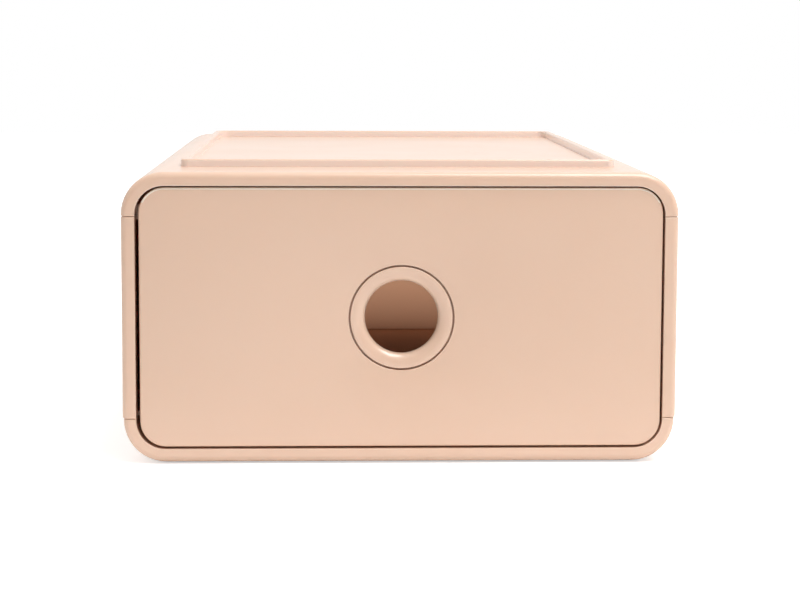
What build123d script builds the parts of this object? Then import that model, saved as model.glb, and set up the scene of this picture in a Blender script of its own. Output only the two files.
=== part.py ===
from build123d import *

import math
import os

# Stackable drawer box: a snap-together casing with one drawer that is pulled by a round finger ring.
# Millimetres. The drawer opens towards -Y, +X is the right-hand side seen from the front, and the
# feet stand on Z = 0. The origin is under the middle of the casing.

# Casing
casing_width = 260.0
casing_depth = 370.0
casing_height = 136.4
corner_radius = 20.0  # the four long corners, seen from the front
casing_wall = 2.5
frame_depth = 10.0  # the thick frame round the opening, front to back
front_round = 3.0
back_round = 6.0
lower_skin_step = 0.5  # the lower shell's skin stands this far inside the side panels' skin

# Seams between the shells and the panels
seam_drop = 0.6  # from the end of a corner's curve to the seam
seam_gap = 0.2
seam_chamfer = 0.4
back_seam_inset = 12.0  # from the casing's side to the upright seam of the back panel
back_lap = 5.0  # how far the back panel laps inside the side panels, and how far the lap is rooted
back_lap_thickness = 1.6

# Tongues of the panels, and the snap tabs that stand on them
tongue_thickness = 2.0
tongue_clearance = 0.2
tongue_height = 3.0
tongue_root = 4.0
side_snap_count = 4
side_snap_pitch = 90.0
back_snap_count = 4
back_snap_pitch = 55.0
snap_length = 12.0
snap_thickness = 1.0
snap_clearance = 0.3
barb_reach = 0.7
barb_height = 1.2

# Guide rails inside the shells
rail_web = 1.5
rail_ledge = 1.5
rail_foot_height = 2.2
rail_foot_reach = 3.1

# Ribs under the ceiling
ceiling_rib_count = 4
ceiling_rib_pitch = 78.0
ceiling_rib_thickness = 1.6
ceiling_rib_height = 3.0

# Stacking rim, and the recess under the base that takes the rim of the box below
rim_side_inset = 25.0
rim_end_inset = 38.5
rim_thickness = 3.5
rim_height = 3.6
rim_outer_corner = 4.0
rim_inner_corner = 5.0
rim_bevel = 0.6
stack_clearance_side = 1.0
stack_clearance_height = 0.5

# Runners on the raised floor
runner_width = 3.0
runner_inset = 36.0
runner_least_height = 0.8
runner_clearance = 0.3

# Feet
foot_size = 14.0
foot_corner = 1.5
foot_height = 1.5
foot_stand = 0.8  # how far a foot stands out of its pocket
foot_pocket_clearance = 0.1
foot_side_inset = 38.0
foot_end_inset = 16.0

# Fascia of the drawer
drawer_shift = 0.45  # the drawer rests this far to the right in its side play
front_recess = 0.6
front_wall = 2.5
front_bevel = 0.7
front_side_gap = 1.45
front_top_gap = 0.8
front_bottom_gap = 1.0
closing_clearance = 0.3

# Tub of the drawer
tub_wall = 2.2
plate_inset = 0.3  # the tub's front plate stands this far inside the fascia's outline
plug_thickness = 1.6
plug_depth = 2.0
plug_clearance = 0.2
tub_side_clearance = 0.9
tub_top_clearance = 0.6
tub_back_clearance = 0.5
tub_corner_relief = 1.6
tub_back_bevel = 2.5
flange_reach = 2.4
flange_thickness = 2.2

# Clip hooks that hold the fascia on the tub
clip_width = 8.0
clip_thickness = 1.8
clip_reach = 0.9
clip_head_length = 1.8
clip_clearance = 0.25
clip_side_inset = 20.0
clip_end_inset = 28.0

# Stops that hold the open drawer
drawer_travel = 290.0
stop_clearance = 0.3
stop_lug_width = 3.5
stop_lug_depth = 4.0
stop_engagement = 3.0
stop_tab_ramp = 9.0
stop_tab_land = 2.0

# Pull ring
ring_radius = 24.1
ring_gap = 0.4
ring_flange = 3.0
ring_flat = 1.3
throat_radius = 17.1
lip_depth = 4.0
lip_land = 0.9
lip_facets = 3  # flats that make up the lip's curve
barrel_radius = 20.4
barrel_wall = 1.8
barrel_clearance = 0.4
barrel_barb_reach = 0.9
barrel_barb_length = 1.2
barrel_barb_clearance = 0.1
finger_slot_count = 4
finger_slot_width = 4.0
finger_slot_cut = 3.0
seat_thickness = 1.8
seat_wall = 2.0
seat_clearance = 0.1

# Places that follow from the sizes
tongue_slot = tongue_thickness + 2 * tongue_clearance
frame_thickness = casing_wall + tongue_slot + rail_web
opening_width = casing_width - 2 * frame_thickness
opening_height = casing_height - 2 * frame_thickness
opening_radius = corner_radius - frame_thickness
front_y = -casing_depth / 2
back_y = casing_depth / 2
frame_back_y = front_y + frame_depth
base_z = foot_stand
top_z = base_z + casing_height
middle_z = base_z + casing_height / 2
ceiling_z = top_z - casing_wall
upper_seam_z = top_z - corner_radius - seam_drop
lower_seam_z = base_z + corner_radius + seam_drop
panel_height = upper_seam_z - lower_seam_z - 2 * seam_gap
half_width = casing_width / 2
skin_y = back_y - casing_wall  # inner face of the back wall
bevel_share = 2 - math.sqrt(2)  # of a round's radius, the bevel that touches the round in its middle
skin_probe = casing_wall / 3  # an edge nearer the outside than this is an edge of the skin
back_seam_x = half_width - back_seam_inset

rail_x = opening_width / 2
rail_y = skin_y - tongue_slot - rail_web
rail_face_x = rail_x - rail_foot_reach
rail_face_y = rail_y - rail_foot_reach
ledge_z = upper_seam_z + tongue_height + tongue_clearance
ledge_top_z = ledge_z + rail_ledge
tongue_x = rail_x + rail_web + tongue_clearance
tongue_y = rail_y + rail_web + tongue_clearance
barb_z = ledge_top_z + tongue_clearance

rim_width = casing_width - 2 * rim_side_inset
rim_length = casing_depth - 2 * rim_end_inset
recess_width = rim_width + 2 * stack_clearance_side
recess_length = rim_length + 2 * stack_clearance_side
recess_corner = rim_outer_corner + stack_clearance_side
recess_depth = rim_height - foot_stand + stack_clearance_height
raised_floor_z = base_z + recess_depth + casing_wall
foot_pocket_depth = foot_height - foot_stand

front_width = opening_width - 2 * front_side_gap
front_height = opening_height - front_top_gap - front_bottom_gap
front_radius = opening_radius - front_side_gap
front_bottom_z = base_z + frame_thickness + front_bottom_gap
front_middle_z = front_bottom_z + front_height / 2
front_face_y = front_y + front_recess
plate_back_y = frame_back_y - closing_clearance
plate_front_y = plate_back_y - tub_wall
front_back_y = plate_front_y - plug_clearance
front_depth = front_back_y - front_face_y
hollow_width = front_width - 2 * front_wall
hollow_height = front_height - 2 * front_wall
hollow_radius = front_radius - front_wall

tub_half_width = rail_face_x - tub_side_clearance
tub_top_z = upper_seam_z - rail_foot_height - tub_top_clearance
tub_bottom_z = max(front_bottom_z + plate_inset, raised_floor_z + runner_least_height + runner_clearance)
tub_height = tub_top_z - tub_bottom_z
tub_back_y = rail_face_y - tub_back_clearance
tub_radius = opening_radius - tub_corner_relief
runner_height = tub_bottom_z - runner_clearance - raised_floor_z
clip_x = front_width / 2 - clip_side_inset
clip_rise = front_height / 2 - clip_end_inset
clip_root_y = front_face_y + front_wall
clip_catch_y = plate_back_y + clip_clearance
clip_end_y = clip_catch_y + clip_head_length
clip_hole_rise = clip_rise + (clip_thickness - clip_reach) / 2
clip_hole_height = clip_thickness + clip_reach + 2 * clip_clearance
stop_lug_back_y = frame_back_y + tongue_clearance + stop_lug_depth
stop_tab_y = stop_lug_back_y + drawer_travel + stop_clearance
stop_tab_top_z = tub_top_z + 2 * stop_engagement
stop_lug_z = tub_top_z + stop_engagement

ring_hole_radius = ring_radius + ring_gap
ring_pocket_depth = ring_flange + seat_clearance
seat_radius = ring_hole_radius + seat_wall
seat_back = ring_pocket_depth + seat_thickness
barrel_hole_radius = barrel_radius + barrel_clearance
barb_start = seat_back + barrel_barb_clearance
barrel_length = barb_start + barrel_barb_length
tub_hole_radius = barrel_radius + barrel_barb_reach + barrel_clearance
lip_radius = ring_radius - ring_flat
finger_slot_angle = 180 / finger_slot_count


def upright(y, x=0.0, z=0.0):
    """An upright plane across the box at this depth. Its X is to the right, and its Y is up."""
    return Plane(origin=(x, y, z), x_dir=(1, 0, 0), z_dir=(0, -1, 0))


def drawer_plan(z):
    """A level plane at this height, centred on the drawer."""
    return Plane.XY.offset(z).shift_origin((drawer_shift, 0, z))


def rounded_block(width, height, radius, y_from, y_to, front_edge=0.0, back_edge=0.0, back_bevel=0.0):
    """A block with four round long corners between two depths, its ends rounded or bevelled if asked."""
    with BuildPart() as block:
        with BuildSketch(upright(y_from)):
            with Locations((0, middle_z)):
                RectangleRounded(width, height, radius)
        extrude(amount=y_from - y_to)
        if front_edge > 0:
            fillet(block.faces().sort_by(Axis.Y)[0].edges(), radius=front_edge)
        if back_edge > 0:
            fillet(block.faces().sort_by(Axis.Y)[-1].edges(), radius=back_edge)
        if back_bevel > 0:
            chamfer(block.faces().sort_by(Axis.Y)[-1].edges(), length=back_bevel)
    return block.part


def casing_block(inset, y_from):
    """The casing's outline as a solid block, set in by this much, its back bevelled inside the round."""
    return rounded_block(
        casing_width - 2 * inset,
        casing_height - 2 * inset,
        corner_radius - inset,
        y_from,
        back_y - inset,
        back_bevel=(back_round - inset) * bevel_share,
    )


def casing_tube(skin_step=0.0):
    """The whole casing in one piece. The shells and panels are cut out of it, so that they line up."""
    with BuildPart() as tube:
        add(
            rounded_block(
                casing_width - 2 * skin_step,
                casing_height,
                corner_radius,
                front_y,
                back_y - skin_step,
                front_edge=front_round,
                back_edge=back_round,
            )
        )
        add(casing_block(casing_wall, frame_back_y), mode=Mode.SUBTRACT)
        add(
            rounded_block(opening_width, opening_height, opening_radius, front_y, frame_back_y),
            mode=Mode.SUBTRACT,
        )
    return tube.part


def skin_edges(edges, skin_step=0.0):
    """Those of a seam's edges that show on the casing's outside or on the face of the front frame."""
    core = casing_block(skin_step + skin_probe, front_y + skin_probe).solid()
    return edges.filter_by(lambda edge: not core.is_inside(edge @ 0.5))


def wall_band(z, inner_x, inner_y, height, start_y=frame_back_y):
    """A wall along the casing's sides and back, from this inner face outwards, open at the front."""
    with BuildPart() as band:
        with BuildSketch(Plane.XY.offset(z)):
            with Locations((0, start_y)):
                Rectangle(casing_width, back_y - start_y, align=(Align.CENTER, Align.MIN))
                Rectangle(2 * inner_x, inner_y - start_y, align=(Align.CENTER, Align.MIN), mode=Mode.SUBTRACT)
        extrude(amount=height)
    return band.part


def snap_places():
    """Where the snap tabs stand: on the tongues' inner faces, turned so that X points outwards."""
    side = [(i - (side_snap_count - 1) / 2) * side_snap_pitch for i in range(side_snap_count)]
    across = [(i - (back_snap_count - 1) / 2) * back_snap_pitch for i in range(back_snap_count)]
    right = [Location((tongue_x, y, 0), (0, 0, 0)) for y in side]
    left = [Location((-tongue_x, y, 0), (0, 0, 180)) for y in side]
    rear = [Location((x, tongue_y, 0), (0, 0, 90)) for x in across]
    return right + left + rear


def guide_rails():
    """The upper shell's rails: a web behind each tongue, a ledge over it with snap slots, and a foot."""
    web_height = ledge_top_z - upper_seam_z
    with BuildPart() as window:
        with BuildSketch(Plane.XY.offset(ledge_z)):
            with Locations((-snap_clearance / 2, 0)):
                Rectangle(
                    snap_thickness + snap_clearance,
                    snap_length + 2 * snap_clearance,
                    align=(Align.MIN, Align.CENTER),
                )
        extrude(amount=rail_ledge)
    with BuildPart() as beyond_web:
        add(wall_band(upper_seam_z, rail_x + rail_web, rail_y + rail_web, tongue_height + tongue_clearance))
    with BuildPart() as beyond_foot:
        add(
            wall_band(
                upper_seam_z - rail_foot_height, rail_x + rail_web, rail_y + rail_web, rail_foot_height
            )
        )
    with BuildPart() as rails:
        add(wall_band(upper_seam_z, rail_x, rail_y, web_height))
        add(beyond_web.part, mode=Mode.SUBTRACT)
        with Locations(*snap_places()):
            add(window.part, mode=Mode.SUBTRACT)
        add(casing_block(casing_wall / 2, front_y), mode=Mode.INTERSECT)
        add(
            wall_band(
                upper_seam_z - rail_foot_height,
                rail_face_x,
                rail_face_y,
                rail_foot_height,
                start_y=frame_back_y + tongue_clearance,
            )
        )
        add(beyond_foot.part, mode=Mode.SUBTRACT)
    return rails.part


def snap_tab():
    """A thin tab that stands on a tongue, with a barb that hooks over the rail's ledge."""
    with BuildPart() as tab:
        with BuildSketch(upright(0)):
            with BuildLine():
                Polyline(
                    (0, ledge_z - tongue_clearance),
                    (snap_thickness, ledge_z - tongue_clearance),
                    (snap_thickness, barb_z + barb_height),
                    (0, barb_z + barb_height),
                    (-barb_reach, barb_z),
                    (0, barb_z),
                    close=True,
                )
            make_face()
        extrude(amount=snap_length / 2, both=True)
    return tab.part


def panel_tongues():
    """The panels' upper tongues all round: roots on the skin, tongues in the rails' slots, snap tabs."""
    with BuildPart() as roots:
        add(wall_band(upper_seam_z - tongue_root, tongue_x, tongue_y, tongue_root - seam_gap))
        add(casing_block(casing_wall / 2, front_y), mode=Mode.INTERSECT)
    with BuildPart() as tongues:
        add(
            wall_band(
                upper_seam_z - tongue_root,
                tongue_x,
                tongue_y,
                tongue_root + tongue_height,
                start_y=frame_back_y + tongue_clearance,
            )
        )
        add(casing_block(casing_wall + tongue_clearance, front_y), mode=Mode.INTERSECT)
        with Locations(*snap_places()):
            add(snap_tab())
        add(roots.part)
    return tongues.part


def cut_region(x_low, x_high, y_low, y_high, z_low=base_z, z_high=top_z):
    """A plain block between these limits, to keep one panel's share of what runs round the casing."""
    with BuildPart() as region:
        with BuildSketch(Plane.XY.offset(z_low)):
            with Locations((x_low, y_low)):
                Rectangle(x_high - x_low, y_high - y_low, align=(Align.MIN, Align.MIN))
        extrude(amount=z_high - z_low)
    return region.part


def stop_lug(side):
    """The lug beside the upper rail's front end that the drawer's stop tab meets."""
    inner = tub_half_width - stop_lug_width + drawer_shift
    x_low, x_high = sorted((side * inner, side * (rail_x + rail_web)))
    return cut_region(
        x_low, x_high, frame_back_y + tongue_clearance, stop_lug_back_y, stop_lug_z, ledge_top_z
    )


# Upper shell: an inverted tray with the stacking rim on top and the rails inside
with BuildPart() as top_shell:
    add(casing_tube())
    split(bisect_by=Plane.XY.offset(upper_seam_z), keep=Keep.TOP)
    chamfer(skin_edges(top_shell.faces().sort_by(Axis.Z)[0].edges()), length=seam_chamfer)
    add(guide_rails())
    add(stop_lug(1))
    add(stop_lug(-1))
    with BuildSketch(Plane.XY.offset(ceiling_z)):
        with GridLocations(0, ceiling_rib_pitch, 1, ceiling_rib_count):
            Rectangle(casing_width - 2 * corner_radius, ceiling_rib_thickness)
    extrude(amount=-ceiling_rib_height)
    with BuildSketch(Plane.XY.offset(top_z)):
        RectangleRounded(rim_width, rim_length, rim_outer_corner)
        RectangleRounded(
            rim_width - 2 * rim_thickness,
            rim_length - 2 * rim_thickness,
            rim_inner_corner,
            mode=Mode.SUBTRACT,
        )
    extrude(amount=rim_height)
    chamfer(top_shell.faces().sort_by(Axis.Z)[-1].edges(), length=rim_bevel)
top_shell.part.label = "top_shell"

# Lower shell: a tray with the same rails upside down, and a raised floor over the stacking recess
with BuildPart() as bottom_shell:
    add(casing_tube(lower_skin_step))
    split(bisect_by=Plane.XY.offset(lower_seam_z), keep=Keep.BOTTOM)
    chamfer(
        skin_edges(bottom_shell.faces().sort_by(Axis.Z)[-1].edges(), lower_skin_step),
        length=seam_chamfer,
    )
    mirror(guide_rails(), about=Plane.XY.offset(middle_z))
    with BuildSketch(Plane.XY.offset(base_z)):
        RectangleRounded(
            recess_width + 2 * casing_wall, recess_length + 2 * casing_wall, recess_corner + casing_wall
        )
    extrude(amount=recess_depth + casing_wall)
    with BuildSketch(Plane.XY.offset(base_z)):
        RectangleRounded(recess_width, recess_length, recess_corner)
    extrude(amount=recess_depth, mode=Mode.SUBTRACT)
    with BuildSketch(Plane.XY.offset(raised_floor_z)):
        with GridLocations(casing_width - 2 * runner_inset, 0, 2, 1):
            Rectangle(runner_width, recess_length)
    extrude(amount=runner_height)
    with BuildSketch(Plane.XY.offset(base_z)):
        with GridLocations(casing_width - 2 * foot_side_inset, casing_depth - 2 * foot_end_inset, 2, 2):
            RectangleRounded(
                foot_size + 2 * foot_pocket_clearance,
                foot_size + 2 * foot_pocket_clearance,
                foot_corner + foot_pocket_clearance,
            )
    extrude(amount=foot_pocket_depth, mode=Mode.SUBTRACT)
bottom_shell.part.label = "bottom_shell"

# Tongues below the seam: the upper ones upside down
with BuildPart() as tongue_pair:
    add(panel_tongues())
    mirror(panel_tongues(), about=Plane.XY.offset(middle_z))

# Right side panel, with its part of the front frame and a short return round the back corner
with BuildPart() as side_tongues:
    add(tongue_pair.part)
    add(cut_region(rail_x, half_width, front_y, rail_y), mode=Mode.INTERSECT)

with BuildPart() as right_side_panel:
    add(casing_tube())
    add(
        cut_region(
            back_seam_x + seam_gap,
            half_width,
            front_y,
            back_y,
            lower_seam_z + seam_gap,
            upper_seam_z - seam_gap,
        ),
        mode=Mode.INTERSECT,
    )
    seam_faces = right_side_panel.faces().group_by(Axis.Z)
    seam_edges = seam_faces[0].edges() + seam_faces[-1].edges()
    return_edges = right_side_panel.faces().sort_by(Axis.X)[0].edges().filter_by(Axis.Z)
    chamfer(skin_edges(seam_edges + return_edges), length=seam_chamfer)
    add(side_tongues.part)
right_side_panel.part.label = "right_side_panel"

with BuildPart() as left_side_panel:
    mirror(right_side_panel.part, about=Plane.YZ)
left_side_panel.part.label = "left_side_panel"

# Back panel, lapped inside the side panels' returns
with BuildPart() as back_tongues:
    add(tongue_pair.part)
    add(
        cut_region(-back_seam_x + seam_gap, back_seam_x - seam_gap, rail_y, back_y), mode=Mode.INTERSECT
    )

with BuildPart() as back_laps:
    lap_y = skin_y - tongue_clearance - back_lap_thickness
    for side in (-1, 1):
        lap_low, lap_high = sorted((side * (back_seam_x - back_lap), side * (back_seam_x + back_lap)))
        add(
            cut_region(
                lap_low, lap_high, lap_y, back_y, lower_seam_z + seam_gap, upper_seam_z - seam_gap
            )
        )
    add(casing_block(casing_wall + tongue_clearance, front_y), mode=Mode.INTERSECT)

with BuildPart() as back_panel:
    add(casing_tube())
    add(
        cut_region(
            -back_seam_x, back_seam_x, 0, back_y, lower_seam_z + seam_gap, upper_seam_z - seam_gap
        ),
        mode=Mode.INTERSECT,
    )
    chamfer(
        skin_edges(back_panel.faces().sort_by(Axis.Y)[-1].edges()),
        length=seam_chamfer,
    )
    with BuildSketch(upright(lap_y)):
        with Locations((0, middle_z)):
            with GridLocations(2 * back_seam_x - back_lap, 0, 2, 1):
                Rectangle(back_lap, panel_height)
    extrude(amount=lap_y - skin_y)
    add(back_laps.part)
    add(back_tongues.part)
back_panel.part.label = "back_panel"

# Feet, each in its pocket under the base
feet = {}
for end_name, end in (("front", -1), ("back", 1)):
    for side_name, side in (("left", -1), ("right", 1)):
        foot_x = side * (half_width - foot_side_inset)
        foot_y = end * (casing_depth / 2 - foot_end_inset)
        with BuildPart() as foot:
            with BuildSketch(Plane.XY):
                with Locations((foot_x, foot_y)):
                    RectangleRounded(foot_size, foot_size, foot_corner)
            extrude(amount=foot_height)
        foot.part.label = f"foot_{end_name}_{side_name}"
        feet[foot.part.label] = foot.part

# Clip hooks of the fascia: two at the top that catch upwards, and two at the bottom that catch downwards
with BuildPart() as clip_hooks:
    for side in (-1, 1):
        hook_x = drawer_shift + side * clip_x - clip_width / 2
        hook_z = front_middle_z + clip_rise
        with BuildSketch(Plane.YZ.offset(hook_x)):
            with BuildLine():
                Polyline(
                    (clip_root_y, hook_z),
                    (clip_end_y, hook_z),
                    (clip_end_y, hook_z + clip_thickness),
                    (clip_catch_y, hook_z + clip_thickness + clip_reach),
                    (clip_catch_y, hook_z + clip_thickness),
                    (clip_root_y, hook_z + clip_thickness),
                    close=True,
                )
            make_face()
        extrude(amount=clip_width)
    mirror(about=Plane.XY.offset(front_middle_z))

# Fascia: a shallow hollow front with the pocket and seat of the ring, and the clip hooks
with BuildPart() as drawer_front:
    with BuildSketch(upright(front_face_y, drawer_shift)):
        with Locations((0, front_middle_z)):
            RectangleRounded(front_width, front_height, front_radius)
    extrude(amount=-front_depth)
    chamfer(drawer_front.faces().sort_by(Axis.Y)[0].edges(), length=front_bevel)
    with BuildSketch(upright(front_face_y + front_wall, drawer_shift)):
        with Locations((0, front_middle_z)):
            RectangleRounded(hollow_width, hollow_height, hollow_radius)
    extrude(amount=-(front_depth - front_wall), mode=Mode.SUBTRACT)
    with BuildSketch(upright(front_face_y, drawer_shift)):
        with Locations((0, front_middle_z)):
            Circle(seat_radius)
            Circle(barrel_hole_radius, mode=Mode.SUBTRACT)
    extrude(amount=-seat_back)
    with BuildSketch(upright(front_face_y, drawer_shift)):
        with Locations((0, front_middle_z)):
            Circle(ring_hole_radius)
    extrude(amount=-ring_pocket_depth, mode=Mode.SUBTRACT)
    with BuildSketch(upright(front_face_y, drawer_shift)):
        with Locations((0, front_middle_z)):
            Circle(barrel_hole_radius)
    extrude(amount=-front_depth, mode=Mode.SUBTRACT)
    add(clip_hooks.part)
drawer_front.part.label = "drawer_front"

# Tub: a bin behind a full-height front plate, with the fascia's plug, flanges and stop tabs
with BuildPart() as drawer_tub:
    with BuildSketch(upright(plate_front_y, drawer_shift)) as tub_outline:
        with Locations((0, tub_bottom_z)):
            Rectangle(2 * tub_half_width, tub_height, align=(Align.CENTER, Align.MIN))
        fillet(tub_outline.vertices().group_by(Axis.Y)[0], radius=tub_radius)
    extrude(amount=plate_front_y - tub_back_y)
    tub_back = drawer_tub.faces().sort_by(Axis.Y)[-1]
    chamfer(tub_back.edges() - tub_back.edges().sort_by(Axis.Z)[-1:], length=tub_back_bevel)
    offset(amount=-tub_wall, openings=drawer_tub.faces().sort_by(Axis.Z)[-1])
    with BuildSketch(upright(plate_front_y, drawer_shift)):
        with Locations((0, front_middle_z)):
            RectangleRounded(
                front_width - 2 * plate_inset, front_height - 2 * plate_inset, front_radius - plate_inset
            )
    extrude(amount=-tub_wall)
    with BuildSketch(upright(plate_front_y, drawer_shift)):
        with Locations((0, front_middle_z)):
            RectangleRounded(
                hollow_width - 2 * plug_clearance,
                hollow_height - 2 * plug_clearance,
                hollow_radius - plug_clearance,
            )
            RectangleRounded(
                hollow_width - 2 * plug_clearance - 2 * plug_thickness,
                hollow_height - 2 * plug_clearance - 2 * plug_thickness,
                hollow_radius - plug_clearance - plug_thickness,
                mode=Mode.SUBTRACT,
            )
    extrude(amount=plug_depth)
    with BuildSketch(upright(plate_front_y, drawer_shift)):
        with Locations((0, front_middle_z)):
            Circle(tub_hole_radius)
            with GridLocations(2 * clip_x, 2 * clip_hole_rise, 2, 2):
                Rectangle(clip_width + 2 * clip_clearance, clip_hole_height)
    extrude(amount=-tub_wall, mode=Mode.SUBTRACT)
    with BuildSketch(drawer_plan(tub_top_z - flange_thickness)):
        with Locations((0, plate_back_y)):
            for side in (-1, 1):
                with Locations((side * (tub_half_width - tub_wall / 2), 0)):
                    Rectangle(
                        2 * (flange_reach + tub_wall / 2),
                        tub_back_y - tub_back_bevel - plate_back_y,
                        align=(Align.CENTER, Align.MIN),
                    )
            Rectangle(
                2 * (tub_half_width - tub_wall),
                tub_back_y - plate_back_y,
                align=(Align.CENTER, Align.MIN),
                mode=Mode.SUBTRACT,
            )
    extrude(amount=flange_thickness)
    for inner_side in (tub_half_width - tub_wall, -tub_half_width):
        with BuildSketch(Plane.YZ.offset(drawer_shift + inner_side)):
            with BuildLine():
                Polyline(
                    (stop_tab_y, tub_top_z),
                    (stop_tab_y, stop_tab_top_z),
                    (stop_tab_y + stop_tab_land, stop_tab_top_z),
                    (stop_tab_y + stop_tab_land + stop_tab_ramp, tub_top_z),
                    close=True,
                )
            make_face()
        extrude(amount=tub_wall)
drawer_tub.part.label = "drawer_tub"

# Pull ring: a lip that rolls inwards to the throat, on a barrel with snap fingers
lip_curve = []
for i in range(lip_facets + 1):
    turn = math.radians(90 * i / lip_facets)
    lip_curve.append(
        (lip_radius - (lip_radius - throat_radius) * math.cos(turn), lip_depth * (1 - math.sin(turn)))
    )
ring_plane = Plane(origin=(drawer_shift, front_face_y, front_middle_z), x_dir=(1, 0, 0), z_dir=(0, 0, 1))
with BuildPart() as pull_ring:
    with BuildSketch(ring_plane):
        with BuildLine():
            Polyline(
                (ring_radius, 0),
                (ring_radius, ring_flange),
                (barrel_radius, ring_flange),
                (barrel_radius, barb_start),
                (barrel_radius + barrel_barb_reach, barb_start),
                (barrel_radius, barrel_length),
                (barrel_radius - barrel_wall, barrel_length),
                (barrel_radius - barrel_wall, lip_depth + lip_land),
                (throat_radius, lip_depth + lip_land),
                *lip_curve,
                close=True,
            )
        make_face()
    revolve(axis=Axis((drawer_shift, front_face_y, front_middle_z), (0, 1, 0)))
    with BuildSketch(upright(front_face_y + barrel_length, drawer_shift)):
        with Locations((0, front_middle_z)):
            with PolarLocations(barrel_radius, finger_slot_count, start_angle=finger_slot_angle):
                Rectangle(2 * (barrel_wall + barrel_barb_reach), finger_slot_width)
    extrude(amount=finger_slot_cut, mode=Mode.SUBTRACT)
pull_ring.part.label = "pull_ring"

pieces = [
    top_shell.part,
    bottom_shell.part,
    left_side_panel.part,
    right_side_panel.part,
    back_panel.part,
    drawer_tub.part,
    drawer_front.part,
    pull_ring.part,
    *feet.values(),
]
os.makedirs("parts", exist_ok=True)
for piece in pieces:
    export_step(piece, f"parts/{piece.label}.step")
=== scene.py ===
import math

import bmesh
import bpy
from mathutils import Matrix, Vector


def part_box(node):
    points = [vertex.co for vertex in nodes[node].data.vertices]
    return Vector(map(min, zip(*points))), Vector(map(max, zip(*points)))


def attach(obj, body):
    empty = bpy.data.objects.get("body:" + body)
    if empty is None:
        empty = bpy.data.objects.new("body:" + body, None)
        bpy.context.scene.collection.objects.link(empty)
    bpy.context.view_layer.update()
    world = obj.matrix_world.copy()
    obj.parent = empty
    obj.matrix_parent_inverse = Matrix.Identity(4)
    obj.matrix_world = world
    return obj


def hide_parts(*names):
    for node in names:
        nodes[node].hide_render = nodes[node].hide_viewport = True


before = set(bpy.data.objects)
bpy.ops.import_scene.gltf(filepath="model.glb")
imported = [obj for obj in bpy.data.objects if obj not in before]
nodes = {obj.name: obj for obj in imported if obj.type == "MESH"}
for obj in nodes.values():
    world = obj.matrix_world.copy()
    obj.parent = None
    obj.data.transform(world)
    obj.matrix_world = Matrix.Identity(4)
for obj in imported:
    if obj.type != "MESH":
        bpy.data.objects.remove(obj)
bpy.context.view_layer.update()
scene = bpy.context.scene
scene.view_settings.view_transform = "Standard"
print("stage: frame loaded")


def srgb(red, green, blue):
    def linear(value):
        share = value / 255
        return share / 12.92 if share <= 0.04045 else ((share + 0.055) / 1.055) ** 2.4

    return (linear(red), linear(green), linear(blue), 1.0)


def newGroup(name, inputs, outputs):
    group = bpy.data.node_groups.new(name, "ShaderNodeTree")
    for label, kind, value in inputs:
        socket = group.interface.new_socket(name=label, in_out="INPUT", socket_type=kind)
        socket.default_value = value
    for label, kind in outputs:
        group.interface.new_socket(name=label, in_out="OUTPUT", socket_type=kind)
    return group, group.nodes.new("NodeGroupInput"), group.nodes.new("NodeGroupOutput")


def addNode(tree, kind, inputs=None, **settings):
    node = tree.nodes.new(kind)
    for key, value in settings.items():
        setattr(node, key, value)
    for key, value in (inputs or {}).items():
        if hasattr(value, "is_output"):
            tree.links.new(value, node.inputs[key])
        else:
            node.inputs[key].default_value = value
    return node


# fine grain that the mould leaves, with a slow swell under it
def makeGrainGroup():
    group, entry, leave = newGroup(
        "mouldGrain",
        [
            ("Grain Scale", "NodeSocketFloat", 1800.0),
            ("Swell Scale", "NodeSocketFloat", 22.0),
            ("Swell Share", "NodeSocketFloat", 0.4),
        ],
        [("Height", "NodeSocketFloat"), ("Patches", "NodeSocketFloat")],
    )
    place = addNode(group, "ShaderNodeTexCoord")
    grain = addNode(group, "ShaderNodeTexNoise", {
        "Vector": place.outputs["Object"],
        "Scale": entry.outputs["Grain Scale"],
        "Detail": 3.0,
        "Roughness": 0.55,
    })
    swell = addNode(group, "ShaderNodeTexNoise", {
        "Vector": place.outputs["Object"],
        "Scale": entry.outputs["Swell Scale"],
        "Detail": 2.0,
        "Roughness": 0.4,
    })
    mixed = addNode(group, "ShaderNodeMix", {
        0: entry.outputs["Swell Share"],
        2: grain.outputs["Fac"],
        3: swell.outputs["Fac"],
    })
    group.links.new(mixed.outputs[0], leave.inputs["Height"])
    group.links.new(swell.outputs["Fac"], leave.inputs["Patches"])
    return group


# 1 on an edge that hands and shelves rub and where a highlight is painted on, 0 on a flat, broken up by a
# noise
def makeEdgeGroup():
    group, entry, leave = newGroup(
        "edgeWearAndHighlight",
        [("Reach", "NodeSocketFloat", 0.0008), ("Breakup Scale", "NodeSocketFloat", 90.0)],
        [("Mask", "NodeSocketFloat")],
    )
    place = addNode(group, "ShaderNodeTexCoord")
    geometry = addNode(group, "ShaderNodeNewGeometry")
    rounded = addNode(group, "ShaderNodeBevel", {"Radius": entry.outputs["Reach"]}, samples=6)
    facing = addNode(group, "ShaderNodeVectorMath", {
        0: rounded.outputs["Normal"],
        1: geometry.outputs["Normal"],
    }, operation="DOT_PRODUCT")
    turned = addNode(group, "ShaderNodeMapRange", {
        "Value": facing.outputs["Value"],
        "From Min": 0.995,
        "From Max": 0.8,
    })
    breakup = addNode(group, "ShaderNodeTexNoise", {
        "Vector": place.outputs["Object"],
        "Scale": entry.outputs["Breakup Scale"],
        "Detail": 4.0,
    })
    patchy = addNode(group, "ShaderNodeMapRange", {
        "Value": breakup.outputs["Fac"],
        "From Min": 0.35,
        "From Max": 0.65,
        "To Min": 0.3,
    })
    wearAndPaintedLight = addNode(group, "ShaderNodeMath", {
        0: turned.outputs["Result"],
        1: patchy.outputs["Result"],
    }, operation="MULTIPLY")
    group.links.new(wearAndPaintedLight.outputs["Value"], leave.inputs["Mask"])
    return group
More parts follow.
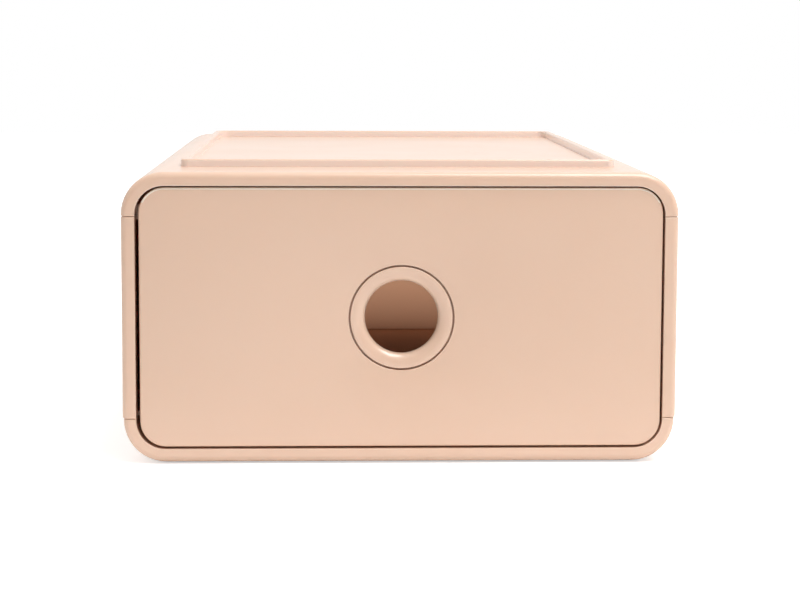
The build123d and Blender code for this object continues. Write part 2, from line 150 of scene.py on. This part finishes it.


# pigment that drifts between two tones and pales along a mask: on rubbed edges, and where a highlight or
# light on the rim is painted
def makeToneGroup():
    group, entry, leave = newGroup(
        "toneDrift",
        [
            ("Colour", "NodeSocketColor", (0.8, 0.6, 0.45, 1.0)),
            ("Second Colour", "NodeSocketColor", (0.75, 0.55, 0.4, 1.0)),
            ("Edge Colour", "NodeSocketColor", (0.9, 0.75, 0.65, 1.0)),
            ("Drift Scale", "NodeSocketFloat", 9.0),
            ("Edge", "NodeSocketFloat", 0.0),
            ("Edge Share", "NodeSocketFloat", 0.5),
        ],
        [("Colour", "NodeSocketColor")],
    )
    place = addNode(group, "ShaderNodeTexCoord")
    drift = addNode(group, "ShaderNodeTexNoise", {
        "Vector": place.outputs["Object"],
        "Scale": entry.outputs["Drift Scale"],
        "Detail": 3.0,
        "Distortion": 0.4,
    })
    blend = addNode(group, "ShaderNodeMapRange", {
        "Value": drift.outputs["Fac"],
        "From Min": 0.3,
        "From Max": 0.7,
    })
    tone = addNode(group, "ShaderNodeMix", {
        0: blend.outputs["Result"],
        6: entry.outputs["Colour"],
        7: entry.outputs["Second Colour"],
    }, data_type="RGBA")
    share = addNode(group, "ShaderNodeMath", {
        0: entry.outputs["Edge"],
        1: entry.outputs["Edge Share"],
    }, operation="MULTIPLY")
    wearAndHighlightTone = addNode(group, "ShaderNodeMix", {
        0: share.outputs["Value"],
        6: tone.outputs[2],
        7: entry.outputs["Edge Colour"],
    }, data_type="RGBA")
    group.links.new(wearAndHighlightTone.outputs[2], leave.inputs["Colour"])
    return group


# light scuffs: a few long thin scratches that break the gloss
def makeScuffGroup():
    group, entry, leave = newGroup(
        "softScuffs",
        [("Scuff Scale", "NodeSocketFloat", 60.0), ("Amount", "NodeSocketFloat", 0.15)],
        [("Mask", "NodeSocketFloat")],
    )
    place = addNode(group, "ShaderNodeTexCoord")
    stretch = addNode(group, "ShaderNodeMapping", {
        "Vector": place.outputs["Object"],
        "Rotation": (0.3, 0.5, 0.2),
        "Scale": (1.0, 0.25, 6.0),
    })
    scratch = addNode(group, "ShaderNodeTexNoise", {
        "Vector": stretch.outputs["Vector"],
        "Scale": entry.outputs["Scuff Scale"],
        "Detail": 5.0,
        "Roughness": 0.7,
    })
    sharp = addNode(group, "ShaderNodeMapRange", {
        "Value": scratch.outputs["Fac"],
        "From Min": 0.58,
        "From Max": 0.7,
    })
    weighed = addNode(group, "ShaderNodeMath", {
        0: sharp.outputs["Result"],
        1: entry.outputs["Amount"],
    }, operation="MULTIPLY")
    group.links.new(weighed.outputs["Value"], leave.inputs["Mask"])
    return group


# a brown glow painted on the inner face of an upright wall: it grows upwards and then ends
def makeGlowGroup():
    group, entry, leave = newGroup(
        "wallGlow",
        [
            ("Wall Place", "NodeSocketFloat", 0.17),
            ("Wall Reach", "NodeSocketFloat", 0.001),
            ("Low", "NodeSocketFloat", 0.0),
            ("High", "NodeSocketFloat", 0.1),
            ("End", "NodeSocketFloat", 0.12),
            ("Rise Power", "NodeSocketFloat", 0.6),
            ("Glow Colour", "NodeSocketColor", (0.4, 0.2, 0.1, 1.0)),
        ],
        [("Colour", "NodeSocketColor")],
    )
    place = addNode(group, "ShaderNodeTexCoord")
    split = addNode(group, "ShaderNodeSeparateXYZ", {"Vector": place.outputs["Object"]})
    onWall = addNode(group, "ShaderNodeMath", {
        0: split.outputs["Y"],
        1: entry.outputs["Wall Place"],
        2: entry.outputs["Wall Reach"],
    }, operation="COMPARE")
    rise = addNode(group, "ShaderNodeMapRange", {
        "Value": split.outputs["Z"],
        "From Min": entry.outputs["Low"],
        "From Max": entry.outputs["High"],
    })
    fall = addNode(group, "ShaderNodeMapRange", {
        "Value": split.outputs["Z"],
        "From Min": entry.outputs["End"],
        "From Max": entry.outputs["High"],
    })
    eased = addNode(group, "ShaderNodeMath", {
        0: rise.outputs["Result"],
        1: entry.outputs["Rise Power"],
    }, operation="POWER")
    band = addNode(group, "ShaderNodeMath", {
        0: eased.outputs["Value"],
        1: fall.outputs["Result"],
    }, operation="MULTIPLY")
    share = addNode(group, "ShaderNodeMath", {
        0: onWall.outputs["Value"],
        1: band.outputs["Value"],
    }, operation="MULTIPLY")
    glow = addNode(group, "ShaderNodeMix", {
        0: share.outputs["Value"],
        6: (0.0, 0.0, 0.0, 1.0),
        7: entry.outputs["Glow Colour"],
    }, data_type="RGBA")
    group.links.new(glow.outputs[2], leave.inputs["Colour"])
    return group


# the standing faces above a height, which are tinted paler: painted light on the rim faces
def makeRimGroup():
    group, entry, leave = newGroup(
        "rimPaintedLight",
        [("Low", "NodeSocketFloat", 0.1), ("Steepness", "NodeSocketFloat", 0.5)],
        [("Mask", "NodeSocketFloat")],
    )
    place = addNode(group, "ShaderNodeTexCoord")
    split = addNode(group, "ShaderNodeSeparateXYZ", {"Vector": place.outputs["Object"]})
    above = addNode(group, "ShaderNodeMath", {
        0: split.outputs["Z"],
        1: entry.outputs["Low"],
    }, operation="GREATER_THAN")
    facing = addNode(group, "ShaderNodeSeparateXYZ", {"Vector": place.outputs["Normal"]})
    upright = addNode(group, "ShaderNodeMath", {0: facing.outputs["Z"]}, operation="ABSOLUTE")
    standing = addNode(group, "ShaderNodeMath", {
        0: upright.outputs["Value"],
        1: entry.outputs["Steepness"],
    }, operation="LESS_THAN")
    mask = addNode(group, "ShaderNodeMath", {
        0: above.outputs["Value"],
        1: standing.outputs["Value"],
    }, operation="MULTIPLY")
    group.links.new(mask.outputs["Value"], leave.inputs["Mask"])
    return group


grainGroup = makeGrainGroup()
edgeGroup = makeEdgeGroup()
toneGroup = makeToneGroup()
scuffGroup = makeScuffGroup()
glowGroup = makeGlowGroup()
rimGroup = makeRimGroup()
print("stage: shader groups made")


# satin polypropylene that lets a little light through
def makePlastic(name, look):
    material = bpy.data.materials.new(name)
    material.use_nodes = True
    tree = material.node_tree
    tree.nodes.clear()
    grain = addNode(tree, "ShaderNodeGroup", node_tree=grainGroup)
    grain.inputs["Grain Scale"].default_value = look["grainScale"]
    edge = addNode(tree, "ShaderNodeGroup", node_tree=edgeGroup)
    edge.inputs["Reach"].default_value = look["edgeReach"]
    wearAndPaintedLight = edge.outputs["Mask"]
    # the rim mask adds painted light on the rim faces to the edge mask
    if "rimLow" in look:
        rim = addNode(tree, "ShaderNodeGroup", node_tree=rimGroup)
        rim.inputs["Low"].default_value = look["rimLow"]
        both = addNode(tree, "ShaderNodeMath", {0: wearAndPaintedLight, 1: rim.outputs["Mask"]}, operation="MAXIMUM")
        wearAndPaintedLight = both.outputs["Value"]
    tone = addNode(tree, "ShaderNodeGroup", {"Edge": wearAndPaintedLight}, node_tree=toneGroup)
    tone.inputs["Colour"].default_value = look["colour"]
    tone.inputs["Second Colour"].default_value = look["secondColour"]
    tone.inputs["Edge Colour"].default_value = look["edgeColour"]
    tone.inputs["Edge Share"].default_value = look["edgeShare"]
    scuff = addNode(tree, "ShaderNodeGroup", node_tree=scuffGroup)
    scuff.inputs["Amount"].default_value = look["scuffAmount"]
    gloss = addNode(tree, "ShaderNodeMapRange", {
        "Value": grain.outputs["Patches"],
        "From Min": 0.3,
        "From Max": 0.7,
        "To Min": look["roughness"] - look["roughnessSpread"],
        "To Max": look["roughness"] + look["roughnessSpread"],
    })
    dulled = addNode(tree, "ShaderNodeMath", {
        0: gloss.outputs["Result"],
        1: scuff.outputs["Mask"],
    }, operation="ADD", use_clamp=True)
    bump = addNode(tree, "ShaderNodeBump", {
        "Height": grain.outputs["Height"],
        "Strength": look["bumpStrength"],
        "Distance": look["bumpDepth"],
    })
    surface = addNode(tree, "ShaderNodeBsdfPrincipled", {
        "Base Color": tone.outputs["Colour"],
        "Roughness": dulled.outputs["Value"],
        "Normal": bump.outputs["Normal"],
        "IOR": look["ior"],
        "Coat Weight": look["coat"],
        "Coat Roughness": look["coatRoughness"],
        "Subsurface Weight": look["glow"],
        "Subsurface Radius": look["glowReach"],
        "Subsurface Scale": 1.0,
    })
    addNode(tree, "ShaderNodeOutputMaterial", {"Surface": surface.outputs["BSDF"]})
    return material


def addWallGlow(material, look, wallPlace):
    tree = material.node_tree
    glow = addNode(tree, "ShaderNodeGroup", node_tree=glowGroup)
    glow.inputs["Wall Place"].default_value = wallPlace
    glow.inputs["Wall Reach"].default_value = look["wallReach"]
    glow.inputs["Low"].default_value = look["glowLow"]
    glow.inputs["High"].default_value = look["glowHigh"]
    glow.inputs["End"].default_value = look["glowEnd"]
    glow.inputs["Glow Colour"].default_value = look["glowColour"]
    surface = tree.nodes["Principled BSDF"]
    tree.links.new(glow.outputs["Colour"], surface.inputs["Emission Color"])
    surface.inputs["Emission Strength"].default_value = 1.0


softEdge = {
    "weldReach": 0.000002,
    "radius": 0.0002,
    "segments": 2,
    "fromAngle": 38.0,  # degrees
}


def dressNode(nodeName, material):
    holder = nodes[nodeName]
    holder.data.materials.clear()
    holder.data.materials.append(material)
    return holder


# as dressNode, with fine rounds on the mould's edges
def dressMoulding(nodeName, material):
    holder = dressNode(nodeName, material)
    weld = holder.modifiers.new("joinCorners", "WELD")
    weld.merge_threshold = softEdge["weldReach"]
    bevel = holder.modifiers.new("softEdges", "BEVEL")
    bevel.width = softEdge["radius"]
    bevel.segments = softEdge["segments"]
    bevel.limit_method = "ANGLE"
    bevel.angle_limit = math.radians(softEdge["fromAngle"])
    holder.modifiers.new("evenShade", "WEIGHTED_NORMAL")


peach = {
    "colour": srgb(233, 198, 174),
    "secondColour": srgb(231, 195, 170),
    "edgeColour": srgb(242, 216, 198),
    "edgeShare": 0.35,
    "edgeReach": 0.0008,
    "roughness": 0.39,
    "roughnessSpread": 0.04,
    "scuffAmount": 0.1,
    "bumpStrength": 0.25,
    "bumpDepth": 0.00012,
    "grainScale": 1800.0,
    "ior": 1.5,
    "coat": 0.6,
    "coatRoughness": 0.2,
    "glow": 0.12,
    "glowReach": (0.004, 0.0025, 0.0018),
}


# the upper shell's edges and rim faces are painted near white: a painted highlight and painted light
upperLook = dict(peach, edgeColour=srgb(252, 236, 228), edgeShare=0.9, rimLow=0.1373)
upperPlastic = makePlastic("upperPlastic", upperLook)
dressMoulding("top_shell", upperPlastic)

lowerLook = dict(peach)
lowerPlastic = makePlastic("lowerPlastic", lowerLook)
dressMoulding("bottom_shell", lowerPlastic)

panelLook = dict(peach)
panelPlastic = makePlastic("panelPlastic", panelLook)
for nodeName in ("left_side_panel", "right_side_panel", "back_panel"):
    dressMoulding(nodeName, panelPlastic)


tubLook = dict(
    peach,
    roughness=0.6,
    ior=1.35,
    wallThickness=0.0022,
    wallReach=0.0008,
    coat=0.0,
    glowLow=0.0085,  # heights where the painted glow begins, is full and ends
    glowHigh=0.046,
    glowEnd=0.062,
    glowColour=(0.43, 0.228, 0.138, 1.0),
)
tubPlastic = makePlastic("tubPlastic", tubLook)
addWallGlow(tubPlastic, tubLook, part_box("drawer_tub")[1].y - tubLook["wallThickness"])
dressNode("drawer_tub", tubPlastic)

footLook = dict(peach, colour=srgb(205, 200, 196), secondColour=srgb(198, 193, 190), roughness=0.6, glow=0.05)
footPlastic = makePlastic("footRubber", footLook)
for nodeName in ("foot_front_left", "foot_front_right", "foot_back_left", "foot_back_right"):
    dressNode(nodeName, footPlastic)
print("stage: shells, panels, tub and feet dressed")


# joins rings of points, one after the other, into a skin; every ring has as many points
def skinRings(work, rings, closed):
    made = [[work.verts.new(point) for point in ring] for ring in rings]
    count = len(made[0])
    pairs = list(zip(made, made[1:]))
    if closed:
        pairs.append((made[-1], made[0]))
    for near, far in pairs:
        for i in range(count):
            j = (i + 1) % count
            work.faces.new((near[i], near[j], far[j], far[i]))
    return made


def circlePoint(centre, radius, depth, turn):
    return (centre.x + radius * math.cos(turn), centre.y + depth, centre.z + radius * math.sin(turn))


def circleRing(centre, radius, depth, count):
    return [circlePoint(centre, radius, depth, 2 * math.pi * (i + 0.5) / count) for i in range(count)]


# a rectangle with round corners, with a quarter of the points on each corner
def roundedRing(centre, width, height, corner, depth, count):
    quarter = count // 4
    ring = []
    for i in range(4):
        alongX = (1, -1, -1, 1)[i] * (width / 2 - corner)
        alongZ = (1, 1, -1, -1)[i] * (height / 2 - corner)
        for j in range(quarter):
            turn = math.pi / 2 * (i + j / (quarter - 1))
            ring.append((
                centre.x + alongX + corner * math.cos(turn),
                centre.y + depth,
                centre.z + alongZ + corner * math.sin(turn),
            ))
    return ring


def finishPiece(name, work, materials, smoothAngle=40.0):
    bmesh.ops.recalc_face_normals(work, faces=work.faces)
    mesh = bpy.data.meshes.new(name)
    work.to_mesh(mesh)
    work.free()
    for face in mesh.polygons:
        face.use_smooth = True
    mesh.set_sharp_from_angle(angle=math.radians(smoothAngle))
    for material in materials:
        mesh.materials.append(material)
    piece = bpy.data.objects.new(name, mesh)
    scene.collection.objects.link(piece)
    return piece


# points of a round edge from the side wall to the face, as shares of its radius: how far in and how deep
def roundedEdge(steps):
    turns = [math.pi / 2 * i / steps for i in range(steps + 1)]
    return [(1 - math.cos(turn), 1 - math.sin(turn)) for turn in turns]


ring = {
    "flat": 0.0013,
    "lipDepth": 0.004,
    "throatRadius": 0.0171,
    "land": 0.0009,
    "flange": 0.003,
    "barrelRadius": 0.0204,
    "barrelWall": 0.0018,
    "barbReach": 0.0009,
    "barbLength": 0.0012,
    "slotCut": 0.003,
    "slotWidth": 0.004,
    "slotCount": 4,
    "fingerRoot": 0.0001,  # how far the fingers are sunk into the body
    "rimInset": 0.0002,  # how much smaller the rim is than that of the solids
    "rimRound": 0.0003,
    "rimSteps": 5,
    "backRound": 0.0002,
    "lipSteps": 20,
    "points": 192,
}
ringLook = dict(peach, roughness=0.38, coat=1.0, coatRoughness=0.24)
ringPlastic = makePlastic("ringPlastic", ringLook)
ringLow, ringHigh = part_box("pull_ring")
ringCentre = Vector(((ringLow.x + ringHigh.x) / 2, ringLow.y, (ringLow.z + ringHigh.z) / 2))
ringRadius = (ringHigh.x - ringLow.x) / 2 - ring["rimInset"]
ringLength = ringHigh.y - ringLow.y


# the finger ring: a lip that rolls in to the throat, on a barrel that ends in four snap fingers
def makePullRing():
    lipRadius = ringRadius - ring["flat"]
    barrelInside = ring["barrelRadius"] - ring["barrelWall"]
    landEnd = ring["lipDepth"] + ring["land"]
    slotStart = ringLength - ring["slotCut"]
    slotInside = barrelInside - ring["barbReach"]
    barbStart = ringLength - ring["barbLength"]
    profile = []
    for inward, back in roundedEdge(ring["rimSteps"]):
        profile.append((ringRadius - ring["rimRound"] * inward, ring["rimRound"] * back))
    for i in range(ring["lipSteps"] + 1):
        turn = math.pi / 2 * i / ring["lipSteps"]
        profile.append((
            lipRadius - (lipRadius - ring["throatRadius"]) * math.sin(turn),
            ring["lipDepth"] * (1 - math.cos(turn)),
        ))
    profile += [
        (ring["throatRadius"], landEnd - ring["backRound"]),
        (ring["throatRadius"] + ring["backRound"], landEnd),
        (slotInside, landEnd),
        (slotInside, slotStart),
        (ring["barrelRadius"], slotStart),
        (ring["barrelRadius"], ring["flange"]),
        (ringRadius - ring["backRound"], ring["flange"]),
        (ringRadius, ring["flange"] - ring["backRound"]),
    ]
    work = bmesh.new()
    rings = [circleRing(ringCentre, radius, depth, ring["points"]) for radius, depth in profile]
    skinRings(work, rings, True)

    root = ring["fingerRoot"]
    finger = [
        (slotInside - root, slotStart - root),
        (slotInside - root, landEnd - root),
        (barrelInside, landEnd),
        (barrelInside, ringLength),
        (ring["barrelRadius"], ringLength),
        (ring["barrelRadius"] + ring["barbReach"], barbStart),
        (ring["barrelRadius"], barbStart),
        (ring["barrelRadius"], slotStart - root),
    ]
    halfSlot = math.asin(ring["slotWidth"] / 2 / ring["barrelRadius"])
    sector = 2 * math.pi / ring["slotCount"]
    steps = ring["points"] // ring["slotCount"]
    for k in range(ring["slotCount"]):
        start = sector * (k - 0.5) + halfSlot
        sweep = sector - 2 * halfSlot
        slices = []
        for j in range(steps + 1):
            turn = start + sweep * j / steps
            slices.append([circlePoint(ringCentre, radius, depth, turn) for radius, depth in finger])
        made = skinRings(work, slices, False)
        work.faces.new(made[0])
        work.faces.new(list(reversed(made[-1])))
    return finishPiece("pullRing", work, [ringPlastic])


pullRing = makePullRing()
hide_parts("pull_ring")
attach(pullRing, "drawer")
print("stage: pull ring made")

front = {
    "corner": 0.01215,
    "wall": 0.0025,
    "frontRound": 0.0009,
    "frontSteps": 6,
    "highlightDrop": 0.007,  # how far the painted highlight on the upper edge comes down the corners
    "backRound": 0.0003,
    "frontDepth": 0.0067,
    "pocketGap": 0.0009,  # wider than the 0.0004 of the solids, for the gap line
    "pocketDepth": 0.0031,
    "holeRound": 0.0002,
    "holeSteps": 4,
    "seatBack": 0.0049,
    "seatWall": 0.002,
    "barrelHole": 0.0208,
    "points": 192,
    "hookWidth": 0.008,
    "hookThickness": 0.0018,
    "hookReach": 0.0009,
    "hookHead": 0.0018,
    "hookSideInset": 0.02,
    "hookEndInset": 0.028,
    "hookRound": 0.0003,
    "hookSegments": 2,
}
# the fascia's rounded edges are painted paler: partly wear, partly a painted highlight
fasciaLook = dict(peach, roughness=0.4, edgeShare=0.8)
fasciaPlastic = makePlastic("fasciaPlastic", fasciaLook)
# a near white plastic for the upper part of the front's rounded edge: a painted highlight
highlightLook = dict(fasciaLook, colour=srgb(255, 246, 230), secondColour=srgb(254, 238, 220), edgeShare=0.0)
edgeHighlightPlastic = makePlastic("edgeHighlightPlastic", highlightLook)
frontLow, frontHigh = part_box("drawer_front")
frontCentre = Vector(((frontLow.x + frontHigh.x) / 2, frontLow.y, (frontLow.z + frontHigh.z) / 2))
frontWidth = frontHigh.x - frontLow.x
frontHeight = frontHigh.z - frontLow.z
frontDepthAll = frontHigh.y - frontLow.y


# the hooks at the fascia's back, two that catch upwards and two that catch downwards
def addHooks(work):
    root = frontCentre.y + front["wall"]
    tip = frontCentre.y + frontDepthAll
    catch = tip - front["hookHead"]
    inside = frontHeight / 2 - front["hookEndInset"]
    outside = inside + front["hookThickness"]
    outline = [
        (root, inside),
        (tip, inside),
        (tip, outside),
        (catch, outside + front["hookReach"]),
        (catch, outside),
        (root, outside),
    ]
    edges = set()
    for sideways in (-1, 1):
        middle = frontCentre.x + sideways * (frontWidth / 2 - front["hookSideInset"])
        for upwards in (-1, 1):
            slices = []
            for end in (-1, 1):
                slices.append([
                    work.verts.new((middle + end * front["hookWidth"] / 2, y, frontCentre.z + upwards * z))
                    for y, z in outline
                ])
            sides = [work.faces.new(slices[0]), work.faces.new(list(reversed(slices[1])))]
            for i in range(len(outline)):
                j = (i + 1) % len(outline)
                sides.append(work.faces.new((slices[0][i], slices[0][j], slices[1][j], slices[1][i])))
            edges.update(edge for face in sides for edge in face.edges)
    bmesh.ops.bevel(
        work,
        geom=list(edges),
        offset=front["hookRound"],
        segments=front["hookSegments"],
        affect="EDGES",
        profile=0.5,
    )


def faceRing(inset, depth):
    width = frontWidth - 2 * inset
    height = frontHeight - 2 * inset
    return roundedRing(frontCentre, width, height, front["corner"] - inset, depth, front["points"])


# the fascia as one closed skin: over the face, into the ring's pocket and hole, and back round the hollow
def makeDrawerFront():
    rings = []
    count = front["points"]
    for inward, back in roundedEdge(front["frontSteps"]):
        rings.append(faceRing(front["frontRound"] * inward, front["frontRound"] * back))
    holeRadius = ringRadius + front["pocketGap"]
    for inward, back in reversed(roundedEdge(front["holeSteps"])):
        radius = holeRadius + front["holeRound"] * inward
        rings.append(circleRing(ringCentre, radius, front["holeRound"] * back, count))
    seatRadius = holeRadius + front["seatWall"]
    for radius, depth in (
        (holeRadius, front["pocketDepth"]),
        (front["barrelHole"], front["pocketDepth"]),
        (front["barrelHole"], front["seatBack"]),
        (seatRadius - front["backRound"], front["seatBack"]),
        (seatRadius, front["seatBack"] - front["backRound"]),
        (seatRadius, front["wall"]),
    ):
        rings.append(circleRing(ringCentre, radius, depth, count))
    for inset, depth in (
        (front["wall"], front["wall"]),
        (front["wall"], front["frontDepth"] - front["backRound"]),
        (front["wall"] - front["backRound"], front["frontDepth"]),
        (front["backRound"], front["frontDepth"]),
        (0.0, front["frontDepth"] - front["backRound"]),
    ):
        rings.append(faceRing(inset, depth))
    work = bmesh.new()
    made = skinRings(work, rings, True)
    rounded = {vert for loop in made[1:front["frontSteps"] + 1] for vert in loop}
    # the upper faces of the rounded front edge take the painted highlight
    highlightFrom = frontHigh.z - front["highlightDrop"]
    for face in work.faces:
        if face.calc_center_median().z > highlightFrom and all(vert in rounded for vert in face.verts):
            face.material_index = 1
    addHooks(work)
    return finishPiece("drawerFront", work, [fasciaPlastic, edgeHighlightPlastic])


drawerFront = makeDrawerFront()
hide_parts("drawer_front")
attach(drawerFront, "drawer")
print("stage: drawer front made")

studio = {
    "floorSize": 6.0,
    "floorCells": 8,
    "floorColour": (0.9, 0.895, 0.89, 1.0),
    "floorRoughness": 0.9,
    "floorLift": 0.55,  # extra white that only the camera sees
    "roomFront": 0.32,
    "roomBack": 0.93,
    "roomSpan": 0.6,  # half of the way from front to back over which the room brightens
    "keyPower": 28.0,
    "keySize": (1.0, 1.0),
    "keyPlace": (0.6, -0.6, 1.7),
    "keyAim": (0.0, 0.0, 0.07),
    "bouncePower": 0.029,
    "bounceSize": (0.5, 0.06),
    "bouncePlace": (0.03, -0.217, 0.002),
    "bounceAim": (0.03, -0.217, 1.0),
}


def makeFloor():
    work = bmesh.new()
    cells = studio["floorCells"]
    bmesh.ops.create_grid(work, x_segments=cells, y_segments=cells, size=studio["floorSize"] / 2)
    mesh = bpy.data.meshes.new("floorSheet")
    work.to_mesh(mesh)
    work.free()
    sheet = bpy.data.objects.new("floorSheet", mesh)
    scene.collection.objects.link(sheet)
    paper = bpy.data.materials.new("floorPaper")
    paper.use_nodes = True
    surface = paper.node_tree.nodes["Principled BSDF"]
    surface.inputs["Base Color"].default_value = studio["floorColour"]
    surface.inputs["Roughness"].default_value = studio["floorRoughness"]
    path = addNode(paper.node_tree, "ShaderNodeLightPath")
    lift = addNode(paper.node_tree, "ShaderNodeMath", {
        0: path.outputs["Is Camera Ray"],
        1: studio["floorLift"],
    }, operation="MULTIPLY")
    surface.inputs["Emission Color"].default_value = (1.0, 1.0, 1.0, 1.0)
    paper.node_tree.links.new(lift.outputs["Value"], surface.inputs["Emission Strength"])
    mesh.materials.append(paper)


# a pale room that is brighter behind the box than in front of it, and plain white where it is seen
def makeRoom():
    world = bpy.data.worlds.new("paleRoom")
    world.use_nodes = True
    tree = world.node_tree
    background = tree.nodes["Background"]
    place = addNode(tree, "ShaderNodeTexCoord")
    split = addNode(tree, "ShaderNodeSeparateXYZ", {"Vector": place.outputs["Generated"]})
    level = addNode(tree, "ShaderNodeMapRange", {
        "Value": split.outputs["Y"],
        "From Min": -studio["roomSpan"],
        "From Max": studio["roomSpan"],
        "To Min": studio["roomFront"],
        "To Max": studio["roomBack"],
    })
    path = addNode(tree, "ShaderNodeLightPath")
    seen = addNode(tree, "ShaderNodeMix", {
        0: path.outputs["Is Camera Ray"],
        2: level.outputs["Result"],
        3: 1.0,
    })
    background.inputs["Color"].default_value = (1.0, 1.0, 1.0, 1.0)
    tree.links.new(seen.outputs[0], background.inputs["Strength"])
    scene.world = world


def addLamp(name, power, size, place, aim):
    light = bpy.data.lights.new(name, "AREA")
    light.shape = "RECTANGLE"
    light.energy = power
    light.size, light.size_y = size
    lamp = bpy.data.objects.new(name, light)
    scene.collection.objects.link(lamp)
    lamp.location = place
    lamp.rotation_euler = (Vector(aim) - Vector(place)).to_track_quat("-Z", "Y").to_euler()
    lamp.visible_camera = False


makeFloor()
makeRoom()
addLamp("keyLamp", studio["keyPower"], studio["keySize"], studio["keyPlace"], studio["keyAim"])
addLamp("bounceCard", studio["bouncePower"], studio["bounceSize"], studio["bouncePlace"], studio["bounceAim"])
print("stage: floor, room and lamps set")

viewpoint = {
    "place": (-0.0324, -1.0999, 0.1996),
    "pitch": 0.1002,  # radians, looking down
    "yaw": 0.0349,
    "roll": 0.0037,
    "lens": 89.05,
    "sensor": 36.0,
    "shift": -0.08,
}


def placeCamera():
    cameraData = bpy.data.cameras.new("camera")
    cameraData.lens = viewpoint["lens"]
    cameraData.sensor_width = viewpoint["sensor"]
    cameraData.shift_y = viewpoint["shift"]
    camera = bpy.data.objects.new("camera", cameraData)
    scene.collection.objects.link(camera)
    pitch, yaw, roll = viewpoint["pitch"], viewpoint["yaw"], viewpoint["roll"]
    forward = Vector((math.sin(yaw) * math.cos(pitch), math.cos(yaw) * math.cos(pitch), -math.sin(pitch)))
    levelRight = Vector((math.cos(yaw), -math.sin(yaw), 0.0))
    levelUp = levelRight.cross(forward)
    right = math.cos(roll) * levelRight + math.sin(roll) * levelUp
    up = math.cos(roll) * levelUp - math.sin(roll) * levelRight
    turned = Matrix((right, up, -forward)).transposed().to_4x4()
    camera.matrix_world = Matrix.Translation(viewpoint["place"]) @ turned
    scene.camera = camera


placeCamera()
print("stage: camera placed")
